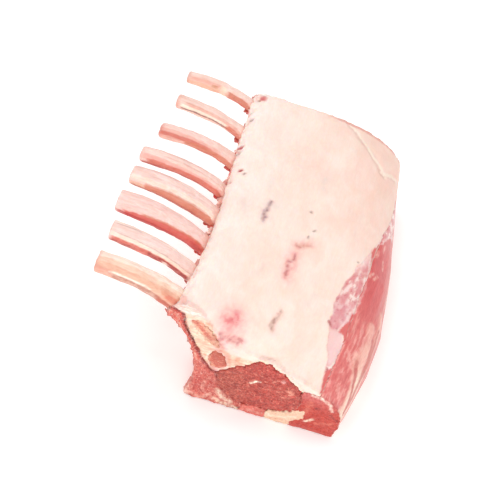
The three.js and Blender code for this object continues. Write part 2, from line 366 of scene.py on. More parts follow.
def rootOf(number, outside=0.3):
    # the middle and the half sizes of a bone where it leaves the meat, felt out from all four sides
    tree = solidTree(f"rib_{number}")
    low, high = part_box(f"rib_{number}")
    y = (low.y + high.y) / 2
    top = tree.ray_cast(Vector((rootX, y, outside)), Vector((0, 0, -1)))[0].z
    bottom = tree.ray_cast(Vector((rootX, y, -outside)), Vector((0, 0, 1)))[0].z
    z = (top + bottom) / 2
    front = tree.ray_cast(Vector((rootX, -outside, z)), Vector((0, 1, 0)))[0].y
    back = tree.ray_cast(Vector((rootX, outside, z)), Vector((0, -1, 0)))[0].y
    return Vector((rootX, (front + back) / 2, z)), Vector((0, (back - front) / 2, (top - bottom) / 2))


ribCount = 8
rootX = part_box("fat_cap")[0].x + 5 * mm
roots = [rootOf(number) for number in range(1, ribCount + 1)]
ribPitch = (roots[-1][0][1] - roots[0][0][1]) / (ribCount - 1)


def toCut(points):
    # how far each point is from the nearer sawn end
    far = (cuts["far"] + cuts["lean"] * points[:, 0] - points[:, 1]) / math.hypot(1, cuts["lean"])
    return np.minimum(points[:, 1] - cuts["near"], far)


def onCut(points, normals):
    # 1 on the two sawn ends
    return fade(toCut(points), 1.4 * mm, 2.6 * mm) * rise(np.abs(normals[:, 1]), 0.5, 0.72)


class Tint:
    # colours laid over each other on the vertices of a piece, each by its own share

    def __init__(self, piece, color, raggedness=0.5 * mm):
        self.points, self.normals = coords(piece), facing(piece)
        self.wandered = wander(self.points, raggedness, 5 * mm, 20.0)
        self.speckle = ripple(self.points, 2.6 * mm, 40.0, 3)
        self.cut = onCut(self.points, self.normals)
        self.color = np.tile(toLinear(color), (len(self.points), 1))

    def over(self, color, share):
        self.color += (np.array(toLinear(color)) - self.color) * np.clip(share, 0, 1)[:, None]

    def marks(self, face, marks, where=1.0, soft=False):
        # each mark: colour, reach in mm, strength, how broken it is, and the corners of its line
        for color, reach, strength, broken, line in marks:
            away = face.toLine(self.wandered, line)
            share = np.exp(-((away / reach) ** 2) * 1.2) if soft else fade(away, reach * 0.35, reach * 1.25)
            self.over(color, share * strength * where * (1 - broken * rise(self.speckle, -0.15, 0.2)))

    def near(self, face, lines, reach):
        # 1 close to any of the lines
        return np.max([fade(face.toLine(self.wandered, line), reach * 0.3, reach) for line in lines], axis=0)

    def keep(self, piece):
        layer = piece.data.attributes.new("tint", "FLOAT_COLOR", "POINT")
        solid = np.ones(len(self.color))
        layer.data.foreach_set("color", np.c_[self.color, solid].astype(np.float32).ravel())


def freeze(piece):
    graph = bpy.context.evaluated_depsgraph_get()
    done = bpy.data.meshes.new_from_object(piece.evaluated_get(graph))
    old = piece.data
    piece.modifiers.clear()
    piece.vertex_groups.clear()
    piece.data = done
    bpy.data.meshes.remove(old)


def soften(piece, rounds, keepCut):
    # smooths the outer surface, and the sawn edges only by the share keepCut leaves
    points = coords(piece)
    weight = np.round((1 - keepCut * fade(toCut(points), 1.5 * mm, 5 * mm)) * 10) / 10
    group = piece.vertex_groups.new(name="outer")
    for level in np.unique(weight):
        group.add(np.nonzero(weight == level)[0].tolist(), float(level), "REPLACE")
    smooth = piece.modifiers.new("soften", "SMOOTH")
    smooth.factor = 0.5
    smooth.iterations = rounds
    smooth.vertex_group = "outer"
    freeze(piece)


def pieceFrom(nodeName, pieceName, s):
    # a merged copy of a solid, rebuilt with small even faces, softened, and grown to close the gaps
    bm = bmesh.new()
    bm.from_mesh(nodes[nodeName].data)
    bmesh.ops.remove_doubles(bm, verts=bm.verts, dist=1e-6)
    mesh = bpy.data.meshes.new(pieceName)
    bm.to_mesh(mesh)
    bm.free()
    piece = bpy.data.objects.new(pieceName, mesh)
    scene.collection.objects.link(piece)
    remesh = piece.modifiers.new("evenFaces", "REMESH")
    remesh.mode = "VOXEL"
    remesh.voxel_size = s["face"] * 1.0
    remesh.use_smooth_shade = True
    freeze(piece)
    soften(piece, s["soften"], s.get("keepCut", 0.9))
    points, normals = coords(piece), facing(piece)
    # ragged where it meets its neighbours on the sawn ends, and square there again
    torn = fade(toCut(points), 1.5 * mm, 4 * mm) * (1 - np.abs(normals[:, 1])) * s.get("torn", 0.0)
    torn = torn * np.clip(0.2 + ripple(points, 2.8 * mm, s.get("seed", 0) * 3.7, 3), -0.2, 0.9)
    points = points + normals * (s["grow"] + torn)[:, None]
    if s.get("keepCut", 0.9):
        depth = toCut(points)
        outward = np.where(points[:, 1] < 0, -1, 1)
        points[:, 1] += outward * depth * 0.9 * fade(depth, 0.8 * mm, 2.2 * mm) * rise(depth, 0, 0.2 * mm)
    setCoords(piece, points)
    return piece


def handOver(piece, slotName, material, *nodeNames):
    points = coords(piece)
    points[:, 2] = np.maximum(points[:, 2], 0)  # it stands flat
    setCoords(piece, points)
    piece.data.materials.clear()
    piece.data.materials.append(material)
    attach(piece, "root")
    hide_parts(*nodeNames)
    print(f"{piece.name}: {len(piece.data.polygons)} faces")


def push(piece, amount):
    setCoords(piece, coords(piece) + facing(piece) * amount[:, None])


def roughenCut(piece, height, size, bulge=0.0, seed=0):
    # the sawn ends are uneven, and cut muscle swells out a little in its middle
    points, normals = coords(piece), facing(piece)
    low, high = points.min(0), points.max(0)
    middle = (low + high) / 2
    reach = (high - low) / 2
    inside = 1 - ((points[:, 0] - middle[0]) / reach[0]) ** 2 - ((points[:, 2] - middle[2]) / reach[2]) ** 2
    lumps = ripple(points, size, 3.0 + seed, 3) * height + ripple(points, size * 0.35, 6.0 + seed, 2) * height * 0.4
    push(piece, onCut(points, normals) * (lumps + np.clip(inside, 0, 1) * bulge))


addCamera(cameraSettings)
addLights(lightSettings)
scene.view_settings.view_transform = "Standard"


floorSettings = {"size": 6.0, "low": (250, 250, 250), "high": (253, 253, 253), "grain": 0.02, "lift": 0.2}


def makeFloor(s):
    bm = bmesh.new()
    bmesh.ops.create_grid(bm, x_segments=2, y_segments=2, size=s["size"] / 2)
    mesh = bpy.data.meshes.new("floor")
    bm.to_mesh(mesh)
    bm.free()
    floor = bpy.data.objects.new("floor", mesh)
    floor.location.z = -0.0004
    scene.collection.objects.link(floor)
    look = Shader("paleFloor")
    tone = look.between(look.noise(s["grain"], 2.0), 0.3, 0.7)
    color = look.mix(tone, toLinear(s["low"]), toLinear(s["high"]))
    look.surface.inputs["Emission Color"].default_value = (1, 1, 1, 1)
    mesh.materials.append(look.finish(color, 0.7, [(tone, 0.00001)], Emission_Strength=s["lift"]))


makeFloor(floorSettings)
print("camera, lights and floor are in")


# the fat cap, and the thin skin past its margin that runs on over the side muscle

skinSettings = {
    # how far across the back the opaque fat and the thin skin reach, at shares along the rack
    "opaqueEdge": [(0, 0.78), (0.1, 0.77), (0.2, 0.73), (0.3, 0.73), (0.45, 0.79), (0.6, 0.87), (0.7, 0.94), (0.8, 1.05)],
    "redEdge": [(0, 0.6), (0.2, 0.78), (0.3, 0.84), (0.4, 0.86), (0.55, 0.84), (0.6, 0.88), (0.65, 0.91), (0.75, 1.05)],
    "edgeSoft": 0.005,
    # the loose flap is an oval past the opaque edge
    "flapMiddle": (0.15, 0.76), "flapSize": (0.075, 0.07), "skinFrom": 0.2,
    "base": (230, 174, 171), "mottle": (220, 138, 142), "light": (248, 228, 222), "purple": (224, 158, 166),
    "dot": (200, 104, 108), "meat": (219, 112, 109), "flap": (238, 200, 197),
}


def paintSkin(tint, s, where):
    # where is how much of each vertex lies past the margin of the opaque fat
    along, over = backFace.shares(tint.wandered)
    points, soft = tint.points, s["edgeSoft"]
    red = follow(along, s["redEdge"])
    upper = rise(along, s["skinFrom"] - soft, s["skinFrom"] + soft)
    skin = where * upper * fade(over - red, -soft, soft)
    mottle = ripple(points, 3.4 * mm, 31.0, 4, (1, 1.5, 1))
    oval = (along - s["flapMiddle"][0]) ** 2 / s["flapSize"][0] ** 2 + (over - s["flapMiddle"][1]) ** 2 / s["flapSize"][1] ** 2
    flap = where * (1 - upper) * fade(oval, 0.9, 1.1)
    tint.over(s["meat"], where * (1 - skin))
    tint.over(s["base"], skin)
    tint.over(s["mottle"], skin * rise(mottle, 0.0, 0.35) * 0.8)
    tint.over(s["light"], skin * fade(mottle, -0.35, -0.1) * 0.8)
    tint.over(s["purple"], skin * fade(np.abs(along - 0.25), 0.03, 0.09) * 0.55)
    tint.over(s["light"], skin * fade(np.abs(over - red), soft, 3 * soft) * 0.6)
    tint.over(s["dot"], skin * rise(ripple(points, 1.8 * mm, 36.0, 4, (1, 1.3, 1)), 0.38, 0.5) * 0.5)
    tint.over(s["flap"], flap)
    tint.over((222, 146, 150), flap * fade(along, 0.08, 0.11) * 0.8)
    tint.over((248, 224, 216), flap * rise(oval, 0.65, 0.85))
    return skin


fatSettings = {
    "face": 0.96 * mm, "soften": 9, "keepCut": 0.8, "grow": 0.32 * mm,
    "torn": 1.6 * mm, "seed": 1,
    "swell": 0.9 * mm, "dimple": 0.2 * mm, "marginStep": 0.6 * mm, "creaseDepth": 0.6 * mm,
    "base": (248, 224, 212),
    "material": {
        "grain": 2.2 * mm, "stretch": (1, 4, 1), "patch": 15 * mm, "patchStretch": (1, 1.5, 1),
        "sawnGrain": 1.6 * mm, "sawnStretch": (3.5, 3, 1), "relief": 0.0005,
        "patchTones": ((0.985, 0.955, 0.94), (1.01, 1.03, 1.04)),
        "tones": ((0.995, 0.98, 0.972), (1.005, 1.015, 1.02)), "fineTones": ((0.99, 0.985, 0.98), (1.01, 1.01, 1.015)),
        "sawnTones": ((0.9, 0.76, 0.72), (1.05, 1.14, 1.15)),
        "rough": 0.42, "bump": 0.0001, "glow": 0.2, "shine": 0.3, "wet": 0.05,
    },
    # on the near end, the height above which the smooth outside turns over, at shares across the cap
    "fold": [(0, 1.05), (0.1, 1), (0.2, 0.82), (0.3, 0.55), (0.35, 0.44), (0.5, 0.45), (1, 0)],
    # two folds by the far end, each from a place to another
    "creases": [[(0.97, 0.55), (0.85, 0.8)], [(0.85, 0.78), (0.9, 0.86)]],
    # stains: after which bone, how far towards the next one, the share across, the lean away from
    # the rack's length, length and halo in mm, and the colours of halo, core and line
    "stains": [
        (1, 0.0, 0.28, 0.8, 5, 8, (238, 154, 156), (222, 116, 122), (218, 110, 116)),
        (1, -0.3, 0.3, 1.3, 13, 3.4, (244, 186, 180), (226, 150, 150), (186, 106, 106)),
        (1, 0.6, 0.48, 0.2, 12, 3, (234, 196, 184), (214, 164, 150), (162, 118, 110)),
        (3, 0.1, 0.47, 0.1, 16, 6, (246, 188, 180), (226, 142, 140), (176, 96, 100)),
        (4, -0.1, 0.5, 0.9, 9, 4.5, (246, 190, 180), (222, 148, 138), (200, 124, 112)),
        (4, 0.4, 0.28, 0.1, 17, 2.6, (222, 182, 180), (190, 142, 146), (130, 92, 96)),
    ],
    "dots": {"seed": 12, "count": 4, "low": (0.4, 0.45), "high": (0.6, 0.8), "length": 0.002, "lean": 0},
    "smears": {"seed": 5, "count": 6, "low": (0.2, 0.15), "high": (0.75, 0.6), "length": 0.04, "lean": 0.5},
    # red nicks along the thin edge: after which bone, how far towards the next one, how far in
    # from the edge in mm, reach, strength and colour
    "nicks": [
        (5, 0.1, 2, 1.2, 0.6, (200, 132, 126)), (5, 0.4, 9, 1.2, 0.8, (160, 112, 116)),
        (5, 0.5, 6, 1.7, 1.0, (176, 44, 54)), (6, 0.1, 1, 1.4, 0.7, (190, 160, 152)),
        (6, 0.3, 1, 2.2, 0.95, (186, 48, 58)), (7, 0.3, 2, 1.4, 0.75, (150, 100, 98)),
        (7, 0.6, 1, 1.4, 0.75, (156, 92, 92)), (8, 0.0, 3, 1.2, 0.8, (172, 124, 100)),
        (8, 0.1, 5, 2.6, 0.95, (206, 92, 92)),
    ],
}


def nickPlace(bone, towards, inward):
    # a place on the back, from a bone's root
    y = roots[bone - 1][0][1] + towards * ribPitch
    return (np.array([y, rootX + inward * mm]) - backFace.low) / backFace.size


def stain(seed, bone, towards, across, lean, length, halo, soft, core, line):
    # a soft halo with a bent core in it and a thin broken line along the core
    y = roots[bone - 1][0][1] + towards * ribPitch
    middle = np.array([(y - backFace.low[0]) / backFace.size[0], across])
    step = length / 2 * mm * np.array([math.cos(lean), math.sin(lean)]) / backFace.size
    bend = np.random.default_rng(seed).normal(0, 0.6 * mm, 2) / backFace.size
    path = [middle - step, middle + bend, middle + step]
    return [(soft, halo, 0.6, 0.3, path), (core, halo * 0.5, 0.65, 0.4, path), (line, 1.1, 0.6, 0.6, path)]


def makeFatCap(s):
    piece = pieceFrom("fat_cap", "fatCap", s)
    points, normals = coords(piece), facing(piece)
    cut = onCut(points, normals)
    away = rise(toCut(points), 0.5 * mm, 4 * mm)
    up = rise(normals[:, 2], -0.1, 0.25)  # the outside, not the face against the meat
    wavy = wander(points, 1.1 * mm, 8 * mm, 5.0)
    along, over = backFace.shares(wavy)
    past = over - follow(along, skinSettings["opaqueEdge"])
    thin = rise(past, -0.004, 0.006) * (1 - cut) * up
    swell = ripple(points, 26 * mm, 1.0, 2, (1, 1.5, 1)) * s["swell"] * away
    dimple = ripple(points, 6 * mm, 2.0, 3) * s["dimple"]
    edge = fade(points[:, 0], -31 * mm, -23 * mm) * rise(points[:, 2], 60 * mm, 68 * mm)
    ragged = ripple(points, 4.5 * mm, 14.0, 3, (1, 1.3, 1)) * 1.7 * mm * edge
    shaped = Tint(piece, s["base"], 1.3 * mm)
    nicks = [(tone, reach, strength, 0.1, [nickPlace(*spot)]) for *spot, reach, strength, tone in s["nicks"]]
    dent = shaped.near(backFace, s["creases"], 4.5) * s["creaseDepth"]
    dent += shaped.near(backFace, [m[4] for m in nicks], 2.2) * 0.9 * mm
    stains = [mark for seed, row in enumerate(s["stains"]) for mark in stain(seed, *row)]
    stains += [((150, 112, 104), 0.9, 0.8, 0.0, line) for line in scattered(**s["dots"])]
    stains += [((226, 206, 200), 2.2, 0.4, 0.2, line) for line in scattered(**s["smears"])]
    dent += shaped.near(backFace, [m[4] for m in stains if m[1] < 2], 1.8) * 0.3 * mm
    dent += thin * s["marginStep"]
    push(piece, (swell + dimple + ragged - dent) * up * (1 - cut) + cut * ripple(points, 5 * mm, 8.0, 3) * 0.4 * mm)

    tint = shaped
    # whiter by the thin edge; towards the far side a tan low on the far slope, partly the fat's own tone and partly
    # painted shade where the slope turns away from the light, and pink in broad patches
    broad = ripple(points, 26 * mm, 61.0, 2)
    tint.over((250, 234, 226), fade(over, 0.05, 0.35) * 0.8)
    # painted shade: tan laid over the far slope where it turns away from the light
    tint.over((241, 200, 178), rise(along, 0.45, 0.9) * rise(over, 0.5, 0.95) * 0.6)
    tint.over((246, 206, 194), rise(along, 0.3, 0.7) * rise(over, 0.3, 0.55) * rise(broad, -0.3, 0.3) * 0.45)
    # the sawn end left of the fold: tan fat with a few meaty fibres
    face = sawnFace("fat_cap")
    across, height = face.shares(wavy)
    near = fade(points[:, 1], cuts["near"] + 5 * mm, cuts["near"] + 9 * mm)
    low = rise(follow(across, s["fold"]) - height, -0.013, 0.02)
    sawn = cut * np.where(near > 0, low, 1)
    tan = np.maximum(sawn, near * low * (across < 0.53)) * fade(height, 0.84, 0.9)
    tint.over((245, 210, 186), tan)
    tint.over((226, 160, 132), tan * rise(ripple(points, 7 * mm, 21.0, 3, (0.5, 2, 1.4)), 0.05, 0.4) * 0.6)
    # paler fat lies close round the small muscles, with a meaty fibre outside it
    small = awayFrom(points, np.maximum(cut, near), "cap_muscle", "wedge_muscle")
    tint.over((254, 230, 210), tan * beside(small, 0, 2) * 0.6)
    tint.over((222, 150, 124), tan * beside(small, 2.5, 4) * rise(across, 0.2, 0.25) * 0.5)
    # a rim of cream fat over the right half of the eye, with a thin dark line above it
    eye = awayFrom(points, np.maximum(cut, near), "loin_eye")
    right = near * rise(across, 0.48, 0.55)
    tint.over((252, 228, 208), near * beside(eye, 0, 2.4) * np.maximum(right, tan) * 0.9)
    tint.over((196, 146, 132), right * beside(eye, 3, 3.8) * (1 - 0.6 * rise(tint.speckle, -0.15, 0.2)) * 0.6)
    tint.marks(backFace, stains, soft=True)
    # each fold by the far end has a painted highlight along its crest and a painted shadow at its foot on its near side
    for crease in s["creases"]:
        foot = [(a - 0.012, b - 0.012) for a, b in crease]
        tint.marks(backFace, [((218, 172, 156), 1.8, 0.45, 0.3, foot), ((254, 236, 220), 1.4, 0.8, 0.1, crease)])
    # red where the outside turns over to the far cut, and thin pink lines at the near tip
    toEnd = toCut(points) / mm
    tint.over((220, 138, 126), beside(toEnd, 0, 3) * rise(along, 0.6, 0.7) * rise(over, 0.42, 0.5) * 0.6)
    tint.over((224, 168, 162), beside(toEnd, 0, 2.4) * fade(along, 0.2, 0.3) * fade(over, 0.12, 0.2) * 0.5)
    # painted shade: the fat in the thin gap against the meat below is painted dark red, so the line there reads red,
    # not grey
    below = awayFrom(points, np.maximum(cut, near), "rib_meat")
    tint.over((150, 44, 42), beside(below, 0, 1.0, 0.4) * near * 0.8)
    skin = paintSkin(tint, skinSettings, thin)
    tint.over((250, 226, 218), skin * fade(past, 0.005, 0.045) * rise(along, 0.39, 0.47) * 0.7)
    # dark ends of the loose flap
    ends = [((176, 62, 66), 1.2, 0.8, 0.2, [(0.08, 0.78)]), ((180, 84, 86), 1.4, 0.8, 0.2, [(0.21, 0.73)])]
    tint.marks(backFace, ends)
    torn = rise(ripple(points, 3.0 * mm, 44.0, 3, (1, 1.6, 1)), 0.05, 0.3)
    tint.over((238, 178, 168), edge * (1 - rise(points[:, 0], -31 * mm, -27 * mm)) * torn * 0.7)
    tint.marks(backFace, nicks)
    tint.keep(piece)
    paint(piece, "sawn", sawn)
    handOver(piece, "outer_fat", fleshMaterial("outerFat", s["material"]), "fat_cap")


makeFatCap(fatSettings)


# the muscles

rawMeat = {
    "grain": 1.6 * mm, "patch": 12 * mm, "sawnGrain": 1.7 * mm, "relief": 0.0009,
    "patchTones": ((0.9, 0.86, 0.86), (1.08, 1.12, 1.12)),
    "tones": ((0.94, 0.86, 0.86), (1.05, 1.12, 1.12)), "fineTones": ((0.95, 0.9, 0.9), (1.05, 1.1, 1.1)),
    "sawnTones": ((0.74, 0.46, 0.44), (1.2, 1.5, 1.5)),
    "rough": 0.34, "wet": 0.22,
}

eyeSettings = {
    "face": 0.65 * mm, "soften": 7, "grow": 0.34 * mm, "torn": 2.4 * mm, "seed": 2,
    "base": (186, 64, 52),
    "material": {
        **rawMeat, "sawnGrain": 1.7 * mm, "sawnTones": ((0.68, 0.42, 0.4), (1.24, 1.66, 1.66)), "patch": 4.5 * mm,
        "patchTones": ((0.84, 0.7, 0.7), (1.12, 1.22, 1.22)), "fleck": (236, 158, 136), "flecks": 0.75,
    },
    # on the sawn end: the one white squiggle and the pale spot high on the right
    "marks": [
        ((250, 222, 204), 1.0, 0.95, 0.0, [(0.4, 0.47), (0.45, 0.52), (0.5, 0.55)]),
        ((244, 176, 168), 1.7, 0.9, 0.1, [(0.75, 0.67)]),
    ],
    "streaks": {"seed": 4, "count": 8, "low": (0.5, 0.3), "high": (0.85, 0.7), "length": 0.07, "lean": 0.6},
    "edge": (116, 28, 28),
}


def makeEye(s):
    piece = pieceFrom("loin_eye", "loinEye", s)
    roughenCut(piece, 0.5 * mm, 4 * mm, 1.0 * mm, s["seed"])
    tint = Tint(piece, s["base"])
    face = sawnFace("loin_eye")
    streaks = [((232, 150, 130), 0.7, 0.6, 0.3, line) for line in scattered(**s["streaks"])]
    across, up = face.shares(tint.points)
    # browner to the left, redder above, and a little paler low on the right
    tint.over((184, 82, 66), tint.cut * fade(across, 0.2, 0.5) * 0.6)
    tint.over((202, 66, 58), tint.cut * rise(up, 0.5, 0.85) * 0.6)
    tint.over((200, 74, 64), tint.cut * rise(across, 0.45, 0.7) * fade(up, 0.3, 0.6) * 0.45)
    tint.marks(face, s["marks"] + streaks, tint.cut)
    # the dark edge against the meat at its two ends
    dark = beside(awayFrom(tint.points, tint.cut, "rib_meat", "back_muscle"), 0, 1.6)
    above = rise(face.shares(tint.points)[1], 0.2, 0.35)
    tint.over(s["edge"], tint.cut * dark * above * (1 - 0.4 * rise(tint.speckle, -0.15, 0.2)) * 0.45)
    tint.keep(piece)
    paint(piece, "sawn", tint.cut)
    handOver(piece, "eye_meat", fleshMaterial("eyeMeat", s["material"]), "loin_eye")


makeEye(eyeSettings)


backSettings = {
    "face": 0.8 * mm, "soften": 12, "grow": 0.34 * mm, "torn": 1.8 * mm, "seed": 3,
    "base": (219, 118, 114),
    "material": {
        **rawMeat, "grain": 2.4 * mm, "stretch": (1, 5, 1), "patch": 16 * mm, "patchStretch": (1, 2, 1),
        "patchTones": ((0.97, 0.93, 0.93), (1.03, 1.06, 1.06)), "tones": ((0.97, 0.92, 0.92), (1.03, 1.07, 1.07)),
        "sawnTones": ((0.84, 0.58, 0.56), (1.12, 1.4, 1.4)), "fleck": (222, 118, 100),
    },
    # tendons which come together at the foot of the near end, with red lines between them
    "tendons": {"seed": 3, "count": 6, "foot": (0, 0.38), "first": (0.12, 0.36), "last": (0.36, 0.26), "jitter": 0.02},
    "between": {"seed": 6, "count": 4, "foot": (0.02, 0.36), "first": (0.12, 0.28), "last": (0.28, 0.22), "jitter": 0.02},
    "thin": {"seed": 8, "count": 3, "low": (0.1, 0.55), "high": (0.2, 0.7), "length": 0.12, "lean": 0.8},
    "ring": ((184, 108, 92), (0.17, 0.47), 1.1, 1.9),
    "shreds": {"seed": 9, "count": 7, "low": (0.46, 0.84), "high": (0.62, 0.96), "length": 0.03, "lean": 2.6},
    "sawn": [
        ((196, 60, 46), 22, 1.0, 0.0, [(0.3, 0.25), (0.7, 0.22)]),
        ((186, 50, 42), 3.4, 0.7, 0.3, [(0.42, 0.47)]),
        ((120, 24, 24), 1.1, 0.8, 0.1, [(0.42, 0.45)]),
        ((150, 34, 32), 1.2, 0.8, 0.2, [(0.62, 0.38), (0.72, 0.31)]),
        ((248, 214, 200), 1.2, 0.85, 0.1, [(0.3, 0.65), (0.45, 0.63), (0.57, 0.57), (0.63, 0.47)]),
        ((252, 228, 206), 1.3, 0.9, 0.0, [(0.32, 0.17), (0.4, 0.23)]),
        ((226, 126, 106), 2.2, 0.5, 0.4, [(0.33, 0.5), (0.28, 0.3)]),
        ((228, 134, 114), 1.4, 0.5, 0.4, [(0.47, 0.18), (0.68, 0.25)]),
        ((190, 56, 46), 3.0, 0.6, 0.3, [(0.1, 0.1), (0.55, 0.1)]),
    ],
}


def makeBackMuscle(s):
    piece = pieceFrom("back_muscle", "backMuscle", s)
    roughenCut(piece, 0.45 * mm, 4 * mm, 0.4 * mm, s["seed"])
    tint = Tint(piece, s["base"], 0.8 * mm)
    points, side = tint.points, 1 - tint.cut
    fibres = ripple(points, 1.8 * mm, 53.0, 3, (1, 9, 1))
    streaky = side * fade(points[:, 1], -50 * mm, -25 * mm)
    tint.over((238, 170, 160), streaky * rise(fibres, 0.1, 0.35) * 0.6)
    tint.over((206, 92, 90), streaky * fade(fibres, -0.4, -0.15) * 0.5)
    # the skin comes on over its upper edge
    high = side * rise(points[:, 2], 38 * mm, 42 * mm)
    along, over = backFace.shares(tint.wandered)
    soft = skinSettings["edgeSoft"]
    covered = fade(over - follow(along, skinSettings["redEdge"]), -soft, soft)
    paintSkin(tint, {**skinSettings, "meat": s["base"]}, high * covered)
    face = sideFace("back_muscle")
    shreds = [((240, 184, 170), 0.8, 0.7, 0.5, line) for line in scattered(**s["shreds"])]
    up = face.shares(tint.wandered)[1]
    tint.over((210, 86, 88), side * beside(along, 0.32, 0.6, 0.08) * rise(up, 0.65, 0.85) * 0.7)
    tendons = fanned(**s["tendons"])
    paleOnes = [((242, 186, 170), 1.6 + 0.5 * i, 0.75, 0.2, line) for i, line in enumerate(tendons)]
    redOnes = [((200, 98, 92), 1.6, 0.8, 0.2, line) for line in fanned(**s["between"])]
    thinOnes = [((240, 178, 168), 0.8, 0.6, 0.4, line) for line in scattered(**s["thin"])]
    foot = [((249, 220, 198), 6, 0.9, 0.15, [(0, 0.36), (0.14, 0.5)])]
    tint.marks(face, paleOnes + foot + redOnes + thinOnes + shreds, side)
    ringColor, ringPlace, inside, outside = s["ring"]
    tint.over(ringColor, side * beside(face.toLine(tint.wandered, [ringPlace]), inside, outside) * (0.75 - 0.5 * rise(tint.speckle, -0.1, 0.2)))
    # a pale strip where the side turns under, on the far half
    turn = fade(np.abs(tint.normals[:, 2] - 0.12), 0.05, 0.16) * rise(along, 0.38, 0.44) * side
    tint.over((246, 206, 190), turn * 0.8)
    # the turn under the side is covered with pale skin
    low = fade(points[:, 2] / mm + 5 * tint.speckle, 7, 17) * side
    tint.over((247, 212, 192), low * 0.85)
    tint.over((222, 132, 120), low * rise(ripple(points, 4 * mm, 51.0, 3, (1, 6, 1)), 0.1, 0.3) * 0.7)
    tint.marks(sawnFace("back_muscle"), s["sawn"], tint.cut)
    bands = tint.near(face, tendons, 4) * side
    push(piece, (ripple(points, 18 * mm, 6.0, 2, (1, 2, 1)) * 0.4 * side + bands * 0.35) * mm)
    tint.keep(piece)
    paint(piece, "sawn", tint.cut)
    handOver(piece, "back_meat", fleshMaterial("backMeat", s["material"]), "back_muscle")


makeBackMuscle(backSettings)


ribSideSettings = {
    "face": 0.8 * mm, "soften": 7, "grow": 0.34 * mm, "torn": 1.8 * mm, "seed": 4,
    "base": (216, 104, 92),
    "material": {
        **rawMeat, "grain": 2.2 * mm, "stretch": (1, 1, 3), "sawnGrain": 1.7 * mm, "sawnStretch": (1, 2, 1.4),
        "sawnTones": ((0.82, 0.55, 0.52), (1.14, 1.5, 1.5)), "fleck": (250, 196, 182), "flecks": 0.8, "relief": 0.0013,
    },
    "sawn": [
        ((222, 112, 98), 6, 0.7, 0.3, [(0.18, 0.8), (0.38, 0.4)]),
        ((204, 74, 66), 4.5, 0.7, 0.3, [(0.45, 0.25), (0.5, 0.12)]),
        ((206, 84, 74), 4, 0.6, 0.3, [(0.53, 0.35), (0.6, 0.22)]),
        ((243, 190, 176), 3.4, 0.9, 0.25, [(0.36, 0.22), (0.34, 0.1), (0.37, 0.03)]),
        ((240, 176, 160), 2.2, 0.75, 0.4, [(0.37, 0.28), (0.33, 0.48)]),
        ((240, 178, 160), 1.4, 0.7, 0.4, [(0.4, 0.04), (0.55, 0.02), (0.63, 0.1)]),
        ((238, 160, 144), 1.2, 0.6, 0.4, [(0.58, 0.3), (0.53, 0.2), (0.55, 0.1)]),
        # cream streak and clot at the foot
        ((228, 138, 124), 4, 0.5, 0.3, [(0.72, 0.13), (0.82, 0.15)]),
        ((248, 214, 192), 2.0, 0.85, 0.35, [(0.7, 0.18), (0.77, 0.1), (0.87, 0.07)]),
        ((246, 206, 184), 1.7, 0.85, 0.3, [(0.67, 0.06), (0.78, 0.03), (0.95, 0.02)]),
        ((110, 18, 22), 1.5, 0.9, 0.0, [(0.97, 0.03), (1.0, 0.04)]),
    ],
    # the dark seam against the fat and the eye, and the red meat and pale fibres beside its upper part
    "seam": (136, 20, 26), "strip": (226, 92, 78), "fibre": (246, 190, 168),
}


def makeRibMeat(s):
    piece = pieceFrom("rib_meat", "ribMeat", s)
    roughenCut(piece, 0.8 * mm, 4.5 * mm, 0, s["seed"])
    tint = Tint(piece, s["base"])
    points, normals, side = tint.points, tint.normals, 1 - tint.cut
    # a thin pale skin lies over the inner wall
    inner = fade(normals[:, 0], -0.35, 0.0) * side
    skin = inner * rise(ripple(points, 7 * mm, 12.0, 3, (1, 1, 2.5)), -0.35, 0.2)
    tint.over((240, 196, 182), skin * 0.8)
    # between the bones it is pale and torn
    web = rise(points[:, 2], 62 * mm, 68 * mm) * side
    tint.over((245, 208, 196), web * 0.85)
    torn = ripple(points, 3.2 * mm, 15.0, 3)
    tint.over((206, 88, 86), web * rise(torn, 0.12, 0.3) * 0.85)
    face = sawnFace("rib_meat")
    height = face.shares(tint.points)[1]
    tint.marks(face, s["sawn"], tint.cut)
    seam = awayFrom(tint.wandered, tint.cut, "fat_cap", "wedge_muscle", "cap_muscle", "loin_eye")
    upper = rise(height, 0.4, 0.55) * tint.cut
    tint.over(s["strip"], upper * beside(seam, 0, 6, 1) * 0.8)
    tint.over(s["fibre"], upper * beside(seam, 3.2, 4.2) * (1 - 0.5 * rise(tint.speckle, -0.15, 0.2)) * 0.8)
    tint.over(s["seam"], tint.cut * beside(seam, 0, 1.3) * (0.45 + 0.4 * rise(height, 0.25, 0.4)))
    push(piece, (ripple(points, 9 * mm, 13.0, 3) * 0.5 + torn * web * 0.5) * mm * side)
    tint.keep(piece)
    paint(piece, "sawn", tint.cut)
    handOver(piece, "rib_side_meat", fleshMaterial("ribSideMeat", s["material"]), "rib_meat")


makeRibMeat(ribSideSettings)


